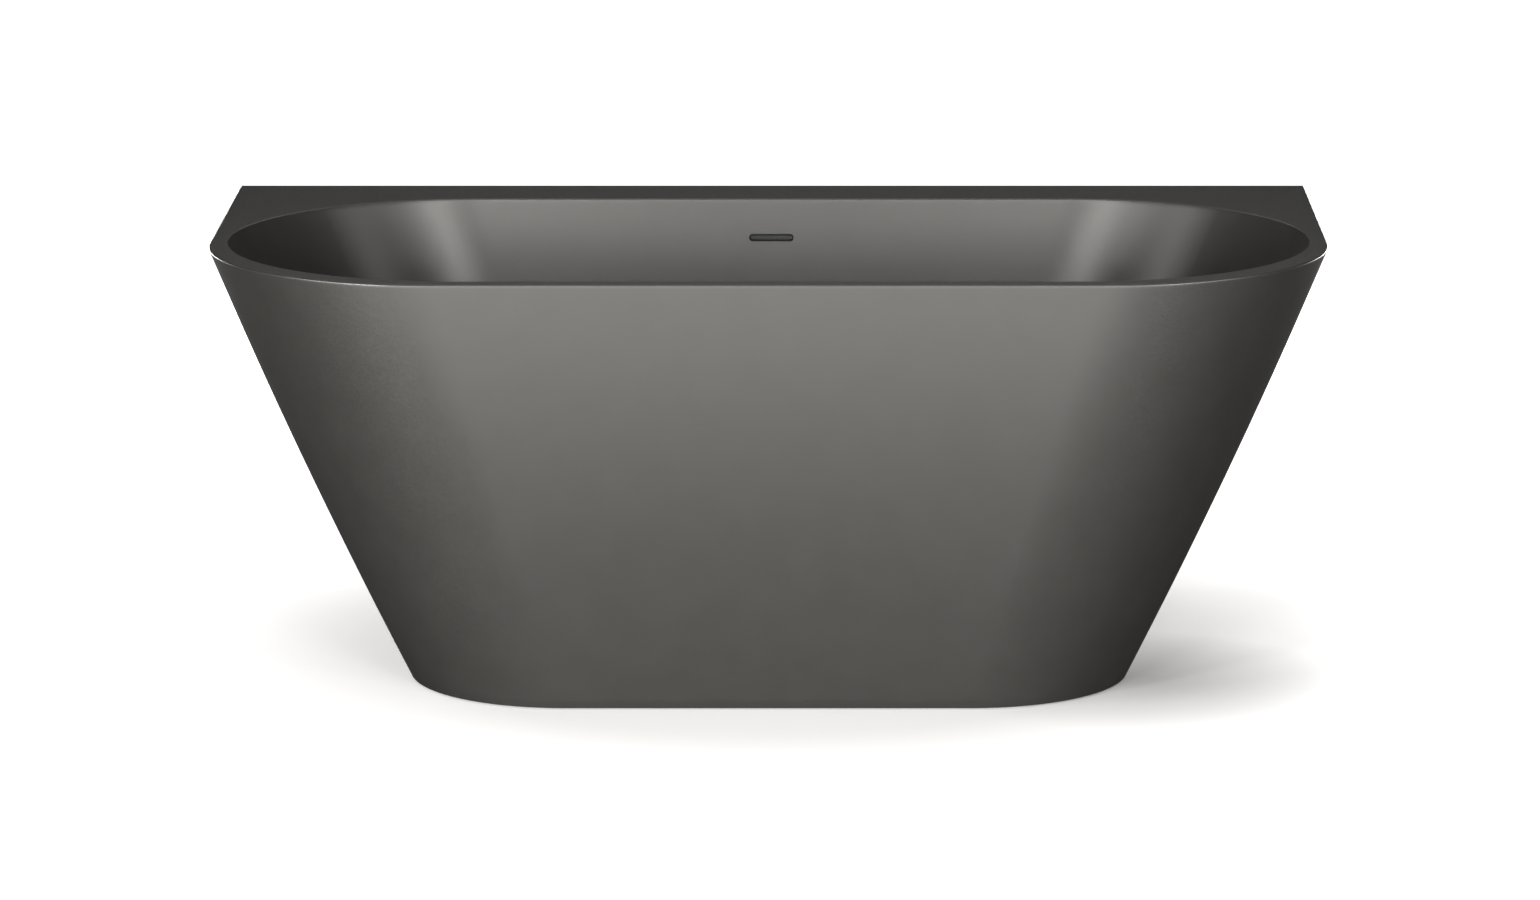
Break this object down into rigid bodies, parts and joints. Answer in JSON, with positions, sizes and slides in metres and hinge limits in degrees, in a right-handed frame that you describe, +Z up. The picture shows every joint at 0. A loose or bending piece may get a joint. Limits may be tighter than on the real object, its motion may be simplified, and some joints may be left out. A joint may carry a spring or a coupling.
{
  "type": "freestanding bathtub",
  "caption": "Back-to-wall bathtub: D-shaped slanted skirt, oval bowl with slot overflow, pop-up waste with trap, steel frame on screw feet.",
  "frame": {"origin": "on the floor, under the middle of the tub's box", "axes": "+Z up, the flat back at +Y against the wall, the curved front at -Y, X along the tub"},
  "size_m": [1.498, 0.7799, 0.58],
  "materials": {
    "tub_finish": "satin",
    "board_wood": "matte",
    "frame_steel": "satin",
    "zinc_steel": "satin",
    "black_plastic": "matte",
    "waste_chrome": "polished",
    "plug_finish": "satin",
    "stem_brass": "satin",
    "spring_steel": "gloss",
    "seal_rubber": "matte",
    "white_plastic": "satin",
    "grey_plastic": "matte",
    "hose_plastic": "satin"
  },
  "bodies": {
    "tub": {"outer_shell": "tub_finish", "bowl": "tub_finish", "baseboard": "board_wood", "deck_batten": "board_wood", "front_rail": "frame_steel", "rear_rail": "frame_steel", "left_crossbar": "frame_steel", "right_crossbar": "frame_steel", "tube_plugs": "black_plastic", "frame_bolts": "zinc_steel", "frame_nuts": "zinc_steel", "board_screws": "zinc_steel", "foot_nuts": "zinc_steel", "rear_brackets": "zinc_steel", "bracket_screws": "zinc_steel", "waste_flange": "waste_chrome", "upper_waste_gasket": "seal_rubber", "lower_waste_gasket": "seal_rubber", "waste_nut": "grey_plastic", "overflow_banjo": "grey_plastic", "plug_cartridge": "white_plastic", "plug_spring": "spring_steel", "overflow_gasket": "seal_rubber", "overflow_housing": "grey_plastic", "overflow_screws": "zinc_steel", "overflow_hose": "hose_plastic", "hose_clips": "zinc_steel", "trap_body": "white_plastic", "trap_cap": "white_plastic", "trap_cap_seal": "seal_rubber", "trap_nut": "white_plastic", "trap_washer": "seal_rubber", "outlet_nut": "white_plastic", "outlet_seal": "seal_rubber", "outlet_pipe": "grey_plastic"},
    "plug": {"plug_cap": "plug_finish", "plug_seal": "seal_rubber", "plug_stem": "stem_brass"},
    "pad_1": {"foot_pad_1": "black_plastic"},
    "stud_1": {"foot_stud_1": "zinc_steel"},
    "pad_2": {"foot_pad_2": "black_plastic"},
    "stud_2": {"foot_stud_2": "zinc_steel"},
    "pad_3": {"foot_pad_3": "black_plastic"},
    "stud_3": {"foot_stud_3": "zinc_steel"},
    "pad_4": {"foot_pad_4": "black_plastic"},
    "stud_4": {"foot_stud_4": "zinc_steel"}
  },
  "joints": [
    {"name": "plug_slide", "type": "slide", "parent": "tub", "child": "plug", "axis": [0, 0, 1], "range_m": [-0.009, 0], "stiffness_N_per_m": 150, "springref_m": 0.02, "deforming": ["plug_spring"]},
    {"name": "pad_1_lift", "type": "slide", "parent": "tub", "child": "pad_1", "axis": [0, 0, -1], "range_m": [0, 0.015]},
    {"name": "stud_1_turn", "type": "hinge", "parent": "pad_1", "child": "stud_1", "pos_m": [-0.33, -0.235, 0.05], "axis": [0, 0, -1], "range_deg": [0, 3086]},
    {"name": "pad_2_lift", "type": "slide", "parent": "tub", "child": "pad_2", "axis": [0, 0, -1], "range_m": [0, 0.015]},
    {"name": "stud_2_turn", "type": "hinge", "parent": "pad_2", "child": "stud_2", "pos_m": [0.33, -0.235, 0.05], "axis": [0, 0, -1], "range_deg": [0, 3086]},
    {"name": "pad_3_lift", "type": "slide", "parent": "tub", "child": "pad_3", "axis": [0, 0, -1], "range_m": [0, 0.015]},
    {"name": "stud_3_turn", "type": "hinge", "parent": "pad_3", "child": "stud_3", "pos_m": [-0.33, 0.225, 0.05], "axis": [0, 0, -1], "range_deg": [0, 3086]},
    {"name": "pad_4_lift", "type": "slide", "parent": "tub", "child": "pad_4", "axis": [0, 0, -1], "range_m": [0, 0.015]},
    {"name": "stud_4_turn", "type": "hinge", "parent": "pad_4", "child": "stud_4", "pos_m": [0.33, 0.225, 0.05], "axis": [0, 0, -1], "range_deg": [0, 3086]}
  ],
  "couplings": [
    {"joint": "stud_1_turn", "follows": "pad_1_lift", "rad_per_m": 3590.4},
    {"joint": "stud_2_turn", "follows": "pad_2_lift", "rad_per_m": 3590.4},
    {"joint": "stud_3_turn", "follows": "pad_3_lift", "rad_per_m": 3590.4},
    {"joint": "stud_4_turn", "follows": "pad_4_lift", "rad_per_m": 3590.4}
  ]
}
